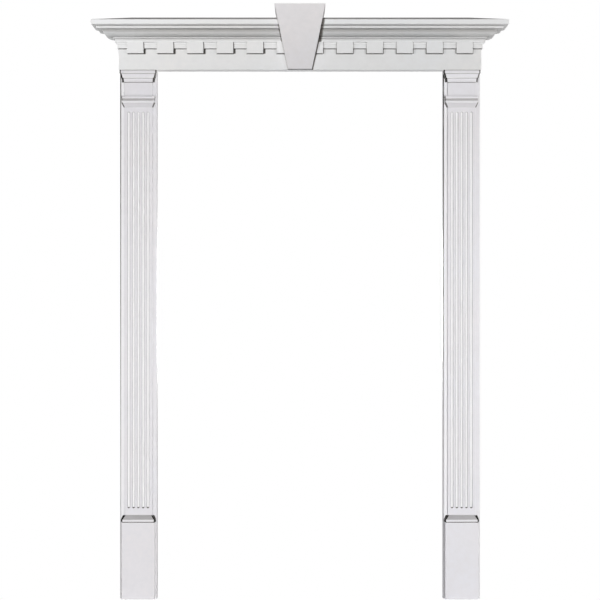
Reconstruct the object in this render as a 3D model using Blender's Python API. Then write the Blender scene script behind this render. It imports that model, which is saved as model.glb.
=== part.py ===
"""Door surround: a dentilled crosshead, its keystone and two fluted pilasters.

Metres, +Z up. The wall is the plane Y = 0 and the surround faces -Y. The origin is the
fixing point on the back of the crosshead, on the centre line of the doorway.
"""

import math

import bmesh
import bpy

# Doorway and the fit of the pieces
OPENING_WIDTH = 1.378
PILASTER_HEIGHT = 2.5434
MOUNT_RISE = 0.100  # fixing point above the crosshead's underside
JOINT_GAP = 0.0004  # left between two pieces that touch
END_REVEAL = 0.003  # crosshead's frieze beyond the outer edge of each pilaster
FRIEZE_REVEAL = 0.002  # crosshead's frieze in front of the capitals

# Pilaster: a wide backing plate under a raised, fluted panel
PLATE_WIDTH = 0.178
PLATE_DEPTH = 0.030
PLATE_EDGE_RADIUS = 0.005
PANEL_WIDTH = 0.134
PANEL_RAISE = 0.012

# Pilaster: the plinth block at its foot and the moulded cap of the block
PLINTH_OUT = 0.013  # plinth beyond the panel, in front and at the sides
PLINTH_HEIGHT = 0.369
PLINTH_QUIRK = 0.004  # width and depth of the groove under the cap
PLINTH_CAP_OVERHANG = 0.0015
PLINTH_CAP_FILLET = 0.0095
PLINTH_CAP_SPLAY = 0.0195

# Pilaster: flutes
FLUTE_COUNT = 5
FLUTE_PITCH = 0.0231
FLUTE_WIDTH = 0.0142
FLUTE_DEPTH = 0.006
FLUTE_HEAD_MARGIN = 0.021  # plain panel between the flutes and the neck moulding
FLUTE_FOOT_MARGIN = 0.0355  # plain panel between the flutes and the plinth

# Pilaster: neck moulding, plain necking and crown of the capital
NECK_OUT = 0.0115
NECK_BEVEL = 0.0235
NECK_FILLET = 0.008
NECK_ROUND_SET_BACK = 0.005
NECK_ROUND_OUT = 0.0055
NECK_ROUND_HEIGHT = 0.0207
NECKING_HEIGHT = 0.069
CROWN_STEP = 0.0075
CROWN_COVE_OUT = 0.004
CROWN_COVE_HEIGHT = 0.020
CROWN_SPLAY_STEP = 0.0015
CROWN_SPLAY_OUT = 0.0055
CROWN_SPLAY_HEIGHT = 0.0199
CROWN_CAP_STEP = 0.0025
CROWN_CAP_HEIGHT = 0.0159

# Crosshead: plain frieze and the course of dentils
FRIEZE_HEIGHT = 0.1012
BAND_OUT = 0.006  # the band behind the dentils
BAND_HEIGHT = 0.0129
DENTIL_COUNT = 12
DENTIL_WIDTH = 0.078
DENTIL_THICKNESS = 0.0095  # in front of the band
DENTIL_DROP = 0.0241  # below the band
DENTIL_END_MARGIN = 0.042

# Crosshead: bed mouldings over the dentils
BED_REVEAL = 0.001  # bed fillet in front of the dentils
BED_COVE_HEIGHT = 0.0170
BED_FILLET_HEIGHT = 0.011
LISTEL_OUT = 0.009
LISTEL_COVE_HEIGHT = 0.005
LISTEL_HEIGHT = 0.0045

# Crosshead: cornice
OVOLO_STEP = 0.0032
OVOLO_OUT = 0.0403
OVOLO_HEIGHT = 0.029
CORONA_OUT = 0.0265
CORONA_SOFFIT_RISE = 0.0048
CORONA_HEIGHT = 0.009
FASCIA_OUT = 0.0225
FASCIA_SOFFIT_RISE = 0.006
FASCIA_HEIGHT = 0.0212
WASH_RISE = 0.038  # the sloping top, hipped at both ends
TOP_LEDGE = 0.012  # flat strip along the wall

# Keystone
KEYSTONE_FOOT_WIDTH = 0.1125
KEYSTONE_HEAD_WIDTH = 0.2392
KEYSTONE_RISE = 0.0245  # above the crosshead
KEYSTONE_FOOT_OUT = 0.024  # in front of the frieze at the foot
KEYSTONE_LEAD = 0.032  # in front of the cornice at the top of its fascia

# Fineness of the curved mouldings
ARC_STEPS = 8
FLUTE_SIDES = 24
FLUTE_END_RINGS = 5

# Finishes: linear colour and roughness
WHITE_PRIMER = (0.74, 0.74, 0.74)
WARM_WHITE = (0.71, 0.70, 0.705)
BRIGHT_WHITE = (0.80, 0.79, 0.81)
PRIMER_ROUGHNESS = 0.55


class Outline:
    """The section of a moulding, drawn upwards as (distance out, height) points."""

    def __init__(self, out=0.0):
        self.points = [(out, 0.0)]

    @property
    def out_now(self):
        return self.points[-1][0]

    @property
    def height(self):
        return self.points[-1][1]

    def line(self, out, rise):
        self.points.append((self.out_now + out, self.height + rise))
        return self

    def up(self, rise):
        return self.line(0.0, rise)

    def step(self, out):
        return self.line(out, 0.0)

    def upright_first(self, out, rise):
        """A quarter of an ellipse that starts upright and ends level."""
        return self._arc(lambda t: (out * (1 - math.cos(t)), rise * math.sin(t)))

    def level_first(self, out, rise):
        """A quarter of an ellipse that starts level and ends upright."""
        return self._arc(lambda t: (out * math.sin(t), rise * (1 - math.cos(t))))

    def _arc(self, offset):
        out, height = self.points[-1]
        for i in range(1, ARC_STEPS + 1):
            along, up = offset(math.pi / 2 * i / ARC_STEPS)
            self.points.append((out + along, height + up))
        return self


def clear_scene():
    for old in list(bpy.data.objects):
        bpy.data.objects.remove(old, do_unlink=True)


def finish(name, colour):
    """A Principled material for one of the moulded pieces."""
    made = bpy.data.materials.new(name)
    made.use_nodes = True
    shader = made.node_tree.nodes["Principled BSDF"]
    shader.inputs["Base Color"].default_value = (*colour, 1.0)
    shader.inputs["Roughness"].default_value = PRIMER_ROUGHNESS
    shader.inputs["Metallic"].default_value = 0.0
    return made


def add_object(name, bm, material=None):
    """Links the bmesh to the scene as one object, with its faces pointing out."""
    bmesh.ops.recalc_face_normals(bm, faces=bm.faces)
    mesh = bpy.data.meshes.new(name)
    bm.to_mesh(mesh)
    bm.free()
    if material:
        mesh.materials.append(material)
    obj = bpy.data.objects.new(name, mesh)
    bpy.context.scene.collection.objects.link(obj)
    return obj


def add_helper(name, bm):
    """An object that only cuts or joins another one."""
    helper = add_object(name, bm)
    helper.hide_render = True
    helper.display_type = "WIRE"
    return helper


def combine(obj, helper, operation):
    modifier = obj.modifiers.new(f"{operation.title()} {helper.name}", "BOOLEAN")
    modifier.operation = operation
    modifier.solver = "EXACT"
    modifier.object = helper


def returned_moulding(points, half_width, depth, back=0.0):
    """A solid whose section runs along the front and round both ends to the plane Y = -back."""
    bm = bmesh.new()
    rings = []
    for out, height in points:
        side = half_width + out
        front = -(depth + out)
        corners = ((-side, -back), (-side, front), (side, front), (side, -back))
        rings.append([bm.verts.new((x, y, height)) for x, y in corners])
    for low, high in zip(rings, rings[1:]):
        for i in range(3):
            bm.faces.new((low[i], low[i + 1], high[i + 1], high[i]))
    bm.faces.new([ring[0] for ring in rings] + [ring[3] for ring in reversed(rings)])
    bm.faces.new(rings[0])
    bm.faces.new(rings[-1])
    return bm


def box(bm, low, high):
    """Adds a box between two opposite corners."""
    corners = bmesh.ops.create_cube(bm, size=1.0)["verts"]
    for corner in corners:
        corner.co = [a if c < 0 else b for a, b, c in zip(low, high, corner.co)]


def frieze_half_length():
    return OPENING_WIDTH / 2 + PLATE_WIDTH + END_REVEAL


def panel_depth():
    return PLATE_DEPTH + PANEL_RAISE


def crown_out():
    return CROWN_STEP + CROWN_COVE_OUT + CROWN_SPLAY_STEP + CROWN_SPLAY_OUT + CROWN_CAP_STEP


def frieze_depth():
    """From the wall to the crosshead's frieze, which stands just in front of the capitals."""
    return panel_depth() + crown_out() + FRIEZE_REVEAL


def dentil_out():
    return BAND_OUT + DENTIL_THICKNESS


def dentil_foot():
    return FRIEZE_HEIGHT - DENTIL_DROP


def bed_fillet_foot():
    return FRIEZE_HEIGHT + BAND_HEIGHT + BED_COVE_HEIGHT


def cornice_outline():
    """The crosshead's section between two dentils, from its underside to its fascia."""
    outline = Outline()
    outline.up(FRIEZE_HEIGHT).step(BAND_OUT).up(BAND_HEIGHT)
    outline.upright_first(DENTIL_THICKNESS + BED_REVEAL, BED_COVE_HEIGHT).up(BED_FILLET_HEIGHT)
    outline.upright_first(LISTEL_OUT, LISTEL_COVE_HEIGHT).up(LISTEL_HEIGHT)
    outline.step(OVOLO_STEP).level_first(OVOLO_OUT, OVOLO_HEIGHT)
    outline.line(CORONA_OUT, CORONA_SOFFIT_RISE).up(CORONA_HEIGHT)
    outline.line(FASCIA_OUT, FASCIA_SOFFIT_RISE).up(FASCIA_HEIGHT)
    return outline


def crosshead_outline():
    """The whole section: the top slopes back from the fascia to a ledge along the wall."""
    outline = cornice_outline()
    return outline.line(TOP_LEDGE - frieze_depth() - outline.out_now, WASH_RISE)


def dentils(bm):
    """The blocks of the dentil course, let into the frieze and into the bed fillet."""
    outer_centre = frieze_half_length() - DENTIL_END_MARGIN - DENTIL_WIDTH / 2
    pitch = 2 * outer_centre / (DENTIL_COUNT - 1)
    back = -frieze_depth() / 2
    front = -(frieze_depth() + dentil_out())
    top = bed_fillet_foot() + BED_FILLET_HEIGHT / 2
    for i in range(DENTIL_COUNT):
        centre = i * pitch - outer_centre
        low = (centre - DENTIL_WIDTH / 2, front, dentil_foot())
        high = (centre + DENTIL_WIDTH / 2, back, top)
        box(bm, low, high)


def make_crosshead(material):
    points = crosshead_outline().points
    bm = returned_moulding(points, frieze_half_length(), frieze_depth())
    crosshead = add_object("crosshead", bm, material)
    blocks = bmesh.new()
    dentils(blocks)
    helper = add_helper("dentil_blocks", blocks)
    combine(crosshead, helper, "UNION")
    for obj in (crosshead, helper):
        obj.location.z = -MOUNT_RISE


def keystone_seat():
    """The section that the keystone is cut to: the crosshead's own, taken through a dentil."""
    outline = crosshead_outline().step(-TOP_LEDGE)
    below = [p for p in outline.points if p[1] < dentil_foot()]
    above = [p for p in outline.points if p[1] > dentil_foot()]
    top = bed_fillet_foot()
    above = [(max(out, dentil_out()) if height < top else out, height) for out, height in above]
    frieze_out = below[-1][0]
    return below + [(frieze_out, dentil_foot()), (dentil_out(), dentil_foot())] + above


def eased(points, gap):
    """The section moved out by the gap, square to the lines that meet at each point."""
    points = [p for p, before in zip(points, [None] + points) if p != before]
    normals = []
    for (out_a, height_a), (out_b, height_b) in zip(points, points[1:]):
        length = math.hypot(out_b - out_a, height_b - height_a)
        normals.append(((height_b - height_a) / length, (out_a - out_b) / length))
    moved = []
    for (out, height), a, b in zip(points, normals[:1] + normals, normals + normals[-1:]):
        share = gap / (1 + a[0] * b[0] + a[1] * b[1])
        moved.append((out + share * (a[0] + b[0]), height + share * (a[1] + b[1])))
    return moved


def make_keystone(material):
    """A wedge, tapered in front and from the side, that sits over the crosshead."""
    cornice = cornice_outline()
    depth = frieze_depth()
    top = crosshead_outline().height + KEYSTONE_RISE
    batter = (cornice.out_now + KEYSTONE_LEAD - KEYSTONE_FOOT_OUT) / cornice.height
    head_out = KEYSTONE_FOOT_OUT + batter * top
    section = eased(keystone_seat(), JOINT_GAP)
    section += [(-depth, top), (head_out, top), (KEYSTONE_FOOT_OUT, 0.0)]
    bm = bmesh.new()
    sides = []
    for sign in (-1, 1):
        side = []
        for out, height in section:
            width = KEYSTONE_FOOT_WIDTH + (KEYSTONE_HEAD_WIDTH - KEYSTONE_FOOT_WIDTH) * height / top
            side.append(bm.verts.new((sign * width / 2, -(depth + out), height)))
        bm.faces.new(side)
        sides.append(side)
    left, right = sides
    for i in range(len(section)):
        bm.faces.new((left[i - 1], left[i], right[i], right[i - 1]))
    add_object("keystone", bm, material).location.z = -MOUNT_RISE


def plinth_outline():
    """The plinth block and its cap, ending flush with the panel."""
    outline = Outline(PLINTH_OUT)
    outline.up(PLINTH_HEIGHT).step(-PLINTH_QUIRK).up(PLINTH_QUIRK)
    outline.step(PLINTH_QUIRK + PLINTH_CAP_OVERHANG).up(PLINTH_CAP_FILLET)
    return outline.line(-PLINTH_OUT - PLINTH_CAP_OVERHANG, PLINTH_CAP_SPLAY)


def capital_height():
    neck = NECK_BEVEL + NECK_FILLET + NECK_ROUND_HEIGHT
    return neck + NECKING_HEIGHT + CROWN_COVE_HEIGHT + CROWN_SPLAY_HEIGHT + CROWN_CAP_HEIGHT


def shaft_height():
    return PILASTER_HEIGHT - plinth_outline().height - capital_height()


def pilaster_outline():
    """The raised part of a pilaster from the ground up: plinth, panel, neck and crown."""
    outline = plinth_outline().up(shaft_height())
    outline.line(NECK_OUT, NECK_BEVEL).up(NECK_FILLET).step(-NECK_ROUND_SET_BACK)
    outline.level_first(NECK_ROUND_OUT, NECK_ROUND_HEIGHT)
    outline.step(NECK_ROUND_SET_BACK - NECK_ROUND_OUT - NECK_OUT).up(NECKING_HEIGHT)
    outline.step(CROWN_STEP).upright_first(CROWN_COVE_OUT, CROWN_COVE_HEIGHT)
    outline.step(CROWN_SPLAY_STEP).line(CROWN_SPLAY_OUT, CROWN_SPLAY_HEIGHT)
    return outline.step(CROWN_CAP_STEP).up(CROWN_CAP_HEIGHT)


def plate():
    """The backing plate, its two front edges rounded."""
    half = PLATE_WIDTH / 2
    radius = PLATE_EDGE_RADIUS
    plan = [(half, 0.0)]
    for i in range(ARC_STEPS + 1):
        turn = math.pi / 2 * i / ARC_STEPS
        plan.append((half - radius * (1 - math.cos(turn)), radius * (1 - math.sin(turn)) - PLATE_DEPTH))
    plan += [(-x, y) for x, y in reversed(plan)]
    bm = bmesh.new()
    foot = bm.faces.new([bm.verts.new((x, y, 0.0)) for x, y in plan])
    raised = bmesh.ops.extrude_face_region(bm, geom=[foot])["geom"]
    tops = [v for v in raised if isinstance(v, bmesh.types.BMVert)]
    bmesh.ops.translate(bm, verts=tops, vec=(0.0, 0.0, PILASTER_HEIGHT))
    return bm


def flutes(bm):
    """Round-ended rods that cut the flutes to their width and depth at the panel's face."""
    radius = (FLUTE_WIDTH**2 / 4 + FLUTE_DEPTH**2) / (2 * FLUTE_DEPTH)
    axis_y = -(panel_depth() + radius - FLUTE_DEPTH)
    foot = plinth_outline().height + FLUTE_FOOT_MARGIN + FLUTE_WIDTH / 2
    head = plinth_outline().height + shaft_height() - FLUTE_HEAD_MARGIN - FLUTE_WIDTH / 2
    quarter = [math.pi / 2 * i / FLUTE_END_RINGS for i in range(FLUTE_END_RINGS)]
    lower = [(radius * math.cos(t), foot - radius * math.sin(t)) for t in reversed(quarter)]
    upper = [(radius * math.cos(t), head + radius * math.sin(t)) for t in quarter]
    turns = [2 * math.pi * i / FLUTE_SIDES for i in range(FLUTE_SIDES)]
    for i in range(FLUTE_COUNT):
        x = (i - (FLUTE_COUNT - 1) / 2) * FLUTE_PITCH
        rings = [
            [bm.verts.new((x + r * math.cos(t), axis_y + r * math.sin(t), z)) for t in turns]
            for r, z in lower + upper
        ]
        bottom = bm.verts.new((x, axis_y, foot - radius))
        top = bm.verts.new((x, axis_y, head + radius))
        for j in range(FLUTE_SIDES):
            bm.faces.new((bottom, rings[0][j - 1], rings[0][j]))
            bm.faces.new((top, rings[-1][j], rings[-1][j - 1]))
            for low, high in zip(rings, rings[1:]):
                bm.faces.new((low[j - 1], low[j], high[j], high[j - 1]))


def make_pilaster(name, centre_x, material):
    pilaster = add_object(name, plate(), material)
    raised = returned_moulding(
        pilaster_outline().points, PANEL_WIDTH / 2, panel_depth(), back=PLATE_DEPTH / 2
    )
    face = add_helper(f"{name}_face", raised)
    rods = bmesh.new()
    flutes(rods)
    cutter = add_helper(f"{name}_flutes", rods)
    combine(pilaster, face, "UNION")
    combine(pilaster, cutter, "DIFFERENCE")
    for obj in (pilaster, face, cutter):
        obj.location = (centre_x, 0.0, -MOUNT_RISE - JOINT_GAP - PILASTER_HEIGHT)


def main():
    clear_scene()
    make_crosshead(finish("crosshead_primer", WHITE_PRIMER))
    make_keystone(finish("keystone_primer", WARM_WHITE))
    pilaster_material = finish("pilaster_primer", BRIGHT_WHITE)
    offset = (OPENING_WIDTH + PLATE_WIDTH) / 2
    make_pilaster("pilaster_left", -offset, pilaster_material)
    make_pilaster("pilaster_right", offset, pilaster_material)


main()
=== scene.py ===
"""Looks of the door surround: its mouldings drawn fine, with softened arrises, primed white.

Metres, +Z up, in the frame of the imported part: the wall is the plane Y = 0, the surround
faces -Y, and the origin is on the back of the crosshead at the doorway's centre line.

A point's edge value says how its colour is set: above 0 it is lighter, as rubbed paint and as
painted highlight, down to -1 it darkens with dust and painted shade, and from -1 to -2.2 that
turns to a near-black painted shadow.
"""

import math

import bmesh
import bpy
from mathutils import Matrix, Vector


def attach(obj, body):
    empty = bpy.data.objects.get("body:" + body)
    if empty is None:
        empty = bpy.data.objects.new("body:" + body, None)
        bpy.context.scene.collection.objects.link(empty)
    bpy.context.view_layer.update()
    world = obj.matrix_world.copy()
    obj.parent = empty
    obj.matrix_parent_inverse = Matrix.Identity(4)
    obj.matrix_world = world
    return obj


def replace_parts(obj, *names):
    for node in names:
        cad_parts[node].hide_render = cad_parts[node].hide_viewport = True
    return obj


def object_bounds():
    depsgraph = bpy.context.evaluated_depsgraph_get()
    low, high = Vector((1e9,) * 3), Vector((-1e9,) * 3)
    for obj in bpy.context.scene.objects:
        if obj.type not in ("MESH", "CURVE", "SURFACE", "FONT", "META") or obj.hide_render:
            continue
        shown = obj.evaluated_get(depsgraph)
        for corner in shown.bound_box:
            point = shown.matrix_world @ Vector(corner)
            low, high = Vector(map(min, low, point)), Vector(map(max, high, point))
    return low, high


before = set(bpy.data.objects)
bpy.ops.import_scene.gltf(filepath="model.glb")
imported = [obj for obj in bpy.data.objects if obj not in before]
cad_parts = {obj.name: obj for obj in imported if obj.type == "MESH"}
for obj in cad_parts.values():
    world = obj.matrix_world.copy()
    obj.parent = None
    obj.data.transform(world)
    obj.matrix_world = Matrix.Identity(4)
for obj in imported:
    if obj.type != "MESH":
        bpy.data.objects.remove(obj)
cad_low, cad_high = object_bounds()

# Doorway and the fit of the pieces
OPENING_WIDTH = 1.378
PILASTER_HEIGHT = 2.5434
MOUNT_RISE = 0.100
JOINT_GAP = 0.0004
END_REVEAL = 0.003
FRIEZE_REVEAL = 0.002

# Pilaster: backing plate, raised panel, plinth and flutes
PLATE_WIDTH = 0.178
PLATE_DEPTH = 0.030
PLATE_EDGE_RADIUS = 0.005
PANEL_WIDTH = 0.134
PANEL_RAISE = 0.012
PLINTH_OUT = 0.013
PLINTH_HEIGHT = 0.369
PLINTH_QUIRK = 0.004
PLINTH_CAP_OVERHANG = 0.0015
PLINTH_CAP_FILLET = 0.0095
PLINTH_CAP_SPLAY = 0.0195
FLUTE_COUNT = 5
FLUTE_PITCH = 0.0231
FLUTE_WIDTH = 0.0142
FLUTE_DEPTH = 0.006
FLUTE_HEAD_MARGIN = 0.021
FLUTE_FOOT_MARGIN = 0.0355

# Pilaster: neck moulding, necking and crown
NECK_OUT = 0.0115
NECK_BEVEL = 0.0235
NECK_FILLET = 0.008
NECK_ROUND_SET_BACK = 0.005
NECK_ROUND_OUT = 0.0055
NECK_ROUND_HEIGHT = 0.0207
NECKING_HEIGHT = 0.069
CROWN_STEP = 0.0075
CROWN_COVE_OUT = 0.004
CROWN_COVE_HEIGHT = 0.020
CROWN_SPLAY_STEP = 0.0015
CROWN_SPLAY_OUT = 0.0055
CROWN_SPLAY_HEIGHT = 0.0199
CROWN_CAP_STEP = 0.0025
CROWN_CAP_HEIGHT = 0.0159

# Crosshead
FRIEZE_HEIGHT = 0.1012
BAND_OUT = 0.006
BAND_HEIGHT = 0.0129
DENTIL_COUNT = 12
DENTIL_WIDTH = 0.078
DENTIL_THICKNESS = 0.0095
DENTIL_DROP = 0.0241
DENTIL_END_MARGIN = 0.042
BED_REVEAL = 0.001
BED_COVE_HEIGHT = 0.0170
BED_FILLET_HEIGHT = 0.011
LISTEL_OUT = 0.009
LISTEL_COVE_HEIGHT = 0.005
LISTEL_HEIGHT = 0.0045
OVOLO_STEP = 0.0032
OVOLO_OUT = 0.0403
OVOLO_HEIGHT = 0.029
CORONA_OUT = 0.0265
CORONA_SOFFIT_RISE = 0.0048
CORONA_HEIGHT = 0.009
FASCIA_OUT = 0.0225
FASCIA_SOFFIT_RISE = 0.006
FASCIA_HEIGHT = 0.0212
WASH_RISE = 0.038
TOP_LEDGE = 0.012

# Keystone
KEYSTONE_FOOT_WIDTH = 0.1125
KEYSTONE_HEAD_WIDTH = 0.2392
KEYSTONE_RISE = 0.0245
KEYSTONE_FOOT_OUT = 0.024
KEYSTONE_LEAD = 0.032

# Softness of the moulded edges, and how far rubbing, dust, painted highlight and shade spread from
# them
ARRIS_RADIUS = 0.0011
CREASE_RADIUS = 0.0008
CORNER_TURN = math.radians(24)  # a sharper turn in a section is a corner
CORNER_STEPS = 4
ROUNDING_SHARE = 0.45  # the most that a rounding takes of a straight run
ROUNDING_FADE = 0.4  # how much the edge value drops towards a rounding's ends
SHOULDER = 0.0028  # reach of the rubbing and painted highlight from an arris
CREASE_SPREAD = 0.0050  # reach of the dust and painted shade from a crease
SPREAD_ROOM = 2.4  # a run longer than so many reaches gets a point where the reach ends
FLUTE_LIP_RADIUS = 0.8 * ARRIS_RADIUS

# Fineness of the curved mouldings
ARC_STEPS = 22
FLUTE_ARC_STEPS = 12
FLUTE_END_STEPS = 20
FLUTE_FLAT = 0.00015  # half the flat left along a flute's bottom
SMOOTH_ANGLE = math.radians(32)
MERGE_DISTANCE = 2e-6
TOLERANCE = 1e-9  # for comparing summed lengths

# Painted shade and edge values in general
SHADE_MIDWAY = 0.9  # of a painted shade's strength, half way across it
LEAST_RUB = 0.01  # a weaker edge value counts as plain

# Painted shade and light on the crosshead: a crease's number multiplies the painted shade in it,
# the soffits and the ovolo are painted darker, and the cove's top and the fascia lighter
BAND_CREASE = 3.0
COVE_HIGHLIGHT = 1.5
LISTEL_COVE_SHADE = 0.30
LISTEL_CREASE = 0.5
OVOLO_SHADE = 0.17
OVOLO_UPPER_SHADE = 0.50
OVOLO_UPPER_SHARE = 0.40  # of the ovolo's height, from its top
OVOLO_TOP_SHADE = 0.85
OVOLO_TOP_SHARE = 0.23
CORONA_SOFFIT_SHADE = 0.35
FASCIA_SOFFIT_SHADE = 0.25
FASCIA_LIGHT = 0.22

# Painted shadow beside and under the dentils, below the band's foot and over it
DENTIL_FOOT_SHADOW = 1.6
DENTIL_LIT = (0.2, 0.2)  # painted shade at the lit left side of a dentil in the left half
DENTIL_SHADED = (1.9, 1.5)  # painted shadow at the right side of the same dentil, away from the light
DENTIL_PLAIN = (1.6, 0.7)  # painted shade at both sides in the right half
DENTIL_SHADED_WIDTH = 0.0135

# Painted shadow beside the keystone, heavier on the right where its shadow falls
KEYSTONE_SHADOW_LEFT = 2.1  # between the dentils and the fascia
KEYSTONE_JOINT_LEFT = 0.8  # above and below that
KEYSTONE_SHADOW_LEFT_WIDTH = 0.0065
KEYSTONE_SHADOW_LEFT_FULL = 0.5  # share of the width at full strength
KEYSTONE_SHADE_LEFT = 0.22
KEYSTONE_SHADE_LEFT_WIDTH = 0.020
KEYSTONE_SHADE_LEFT_FULL = 0.9
KEYSTONE_SHADOW_RIGHT = 1.7
KEYSTONE_SHADOW_RIGHT_WIDTH = 0.022
KEYSTONE_SHADOW_AT_FOOT = 0.38  # share of the width beside the dentils
KEYSTONE_SHADOW_AT_HEAD = 0.55  # share of the width at the top
KEYSTONE_SHADOW_POWER = 3  # a higher one keeps it dark for longer

# Painted shade on the pilasters' mouldings and a painted shadow at their top joint, with the
# creases as on the crosshead
PLINTH_CREASE = 2.2
NECK_FOOT_CREASE = 0.25
NECK_BEVEL_SHADE = 0.20
NECK_ROUND_SHADE = 0.75
NECK_ROUND_CREASE = 1.6
NECK_TOP_CREASE = 0.15
CROWN_FOOT_CREASE = 2.0
CROWN_COVE_SHADE = 0.55
CROWN_CREASE = 1.5
TOP_JOINT_SHADOW = 1.2
TOP_JOINT_WIDTH = 0.005

# Painted shadow at the sides of a pilaster's raised part: its strength and its reach over the
# plate
CAP_SHADOW = 4.5
CAP_SHADOW_WIDTH = 0.0090
NECK_SHADOW = 1.9
NECK_ROUND_SHADOW = 1.05
CROWN_SHADOW = 2.6
PANEL_SHADE = 0.28
RETURN_SHADOW_WIDTH = 0.0060
RETURN_CLIMB = 0.3  # how far it climbs the raised part's side
CAP_MARK_WIDTH = 0.0045  # reach of the same painted shadow over the front
CROWN_MARK_WIDTH = 0.0040
FRONT_PLAIN_FROM = 0.0065  # distance from the side at which the front is plain again
RIGHT_SHARE = 0.75  # of the painted shadow and its reach, on the right of a capital, the side towards the light

# Wear, painted light and painted shade of a pilaster's backing plate
PLATE_EDGE_RUB = 0.5
PLATE_EDGE_SHADOW = 2.0  # painted shade on the left edge, away from the light, at the top
PLATE_EDGE_AT_FOOT = 0.10
PLATE_EDGE_WIDTH = 0.0030
MARGIN_WIDE = 0.008  # beside the panel and the necking; all others are narrow
# Painted light on the margins beside the raised part, where its shade falls
MARGIN_LIGHT_LEFT = 0.46
MARGIN_LIGHT_RIGHT = 0.14
NARROW_LIGHT_RIGHT = 0.9

# Rubbed lips of the flutes, with a painted highlight along their bottoms and painted shade on
# their walls and lower ends
FLUTE_LIP_RUB = 0.2
FLUTE_WALL_SHADE = 0.46
FLUTE_HIGHLIGHT = 1.0
FLUTE_HIGHLIGHT_SHARE = 0.42  # how much of the flute's arc is painted as highlight, at its bottom
FLUTE_FOOT_SHADOW = 2.8
FLUTE_FOOT_FADE = 1.5

# Paints: linear colour, place in the noise and strength of the dust and painted shade
CROSSHEAD_PAINT = ((0.744, 0.744, 0.742), (0.0, 0.0, 0.0), 0.8)
# The keystone's primer is lighter than the crosshead's: painted light, as its face leans down out
# of the light
KEYSTONE_PAINT = ((0.900, 0.877, 0.887), (3.1, 1.7, 0.4), 0.8)
PILASTER_PAINT = ((0.745, 0.731, 0.757), (7.3, 2.2, 5.9), 0.85)
# Dust and painted shade; near-black painted shadow; rubbed paint and painted highlight
DUST_AND_SHADE = (0.20, 0.187, 0.175)
PAINTED_SHADOW = (0.021, 0.020, 0.019)
RUBBED_AND_LIT = (0.93, 0.93, 0.93)

# Primer: a noise is its scale, detail and roughness, and its range is the part that shows
PATCH_NOISE = (2.6, 2.0, 0.5)
PATCH_RANGE = (0.36, 0.64)
WARM_TINT = (1.012, 0.998, 0.985)
COOL_TINT = (0.985, 0.996, 1.012)
MOTTLE_NOISE = (38.0, 5.0, 0.6)
MOTTLE_RANGE = (0.3, 0.7)
MOTTLE_TINT = (0.955, 0.955, 0.955)
STREAK_NOISE = (160.0, 3.0, 0.7)
DUST_AND_SHADE_RANGE = (0.25, 0.65)
DUST_AND_SHADE_LEAST = 0.9  # of the dust and painted shade's strength, where the noise is low
RUB_AND_LIGHT_RANGE = (0.4, 0.7)
RUB_AND_LIGHT_STRENGTH = (0.82, 1.0)
# Painted shade on up-facing surfaces, broken up by noise
UPWARD_SHADE_NOISE = (11.0, 5.0, 0.65)
UPWARD_SHADE_RANGE = (0.35, 0.65)
UPWARD_SHADE_STRENGTH = (0.80, 1.0)
UPWARD_SHADE_SLOPE = (0.15, 0.75)  # how far a surface faces up where its painted shade starts and is full
UPWARD_SHADE = 0.80
SHADOW_RANGE = (1.0, 2.2)  # edge values, less their sign, over which dust and painted shade turn to painted shadow
SPECULAR = (0.5, 0.05)  # of the paint and of the painted shadow
ROUGHNESS_RANGE = (0.3, 0.7)
ROUGHNESS = (0.44, 0.60)
PAINT_IOR = 1.45
WAVE_NOISE = (55.0, 2.0, 0.5)
WAVE_STRENGTH = 0.06
WAVE_DEPTH = 0.0006
PEEL_NOISE = (720.0, 2.0, 0.5)
PEEL_STRENGTH = 0.30
PEEL_DEPTH = 0.0001

# Stage: floor and sky
FLOOR_SIZE = 60.0
FLOOR_DROP = 0.0005
FLOOR_GREY = 0.62
FLOOR_SEEN = 1.0
SKY_SEEN = 1.0
SKY_LIGHT_LEVEL = 0.28
SKY_LIGHT_OVERHEAD = 0.06
SKY_OVERHEAD_FROM = 0.6  # upward part of the direction from which it counts as overhead

# Lights: those round the front are set by their turn to its right, in degrees, and their power
SOFTBOX_SIZE = 1.0
FRONT_DISTANCE = 6.0
SIDE_SIZE = 0.5
SIDE_DISTANCE = 3.2
HEAD_LIGHT_HEIGHT = 0.25
HEAD_FRONT = {"front": (-8.0, 112.0)}
HEAD_SIDES = {"key": (-40.0, 35.0), "fill": (40.0, 28.0)}
PILASTER_LIGHT_HEIGHT = -1.6
PILASTER_LIGHTS = {
    "key": (15.0, 229.0),
    "fill": (-25.0, 85.0),
    "left": (-78.0, 90.0),
    "right": (78.0, 60.0),
}
TOP_PLACE = (0.0, 1.8, 3.2)
TOP_POWER = 36.0
BOUNCE_PLACE = (0.0, 1.5, -2.4)
BOUNCE_POWER = 38.0
END_BOUNCE_PLACE = (2.6, 0.6, -1.6)
END_BOUNCE_POWER = 28.0
BACK_HEIGHT = -1.2
BACK_DISTANCE = 6.0
BACK_POWER = 260.0

# Camera: level, square to the front, at the middle of the height
CAMERA_DISTANCE = 7.64
CAMERA_HEIGHT = -1.2051
CAMERA_LENS = 94.72
CAMERA_CLIP_END = 200.0
SENSOR_WIDTH = 36.0


def quarter_turn(steps=CORNER_STEPS):
    """The angles of a quarter turn, in equal steps from 0."""
    return [math.pi / 2 * i / steps for i in range(steps + 1)]


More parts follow.
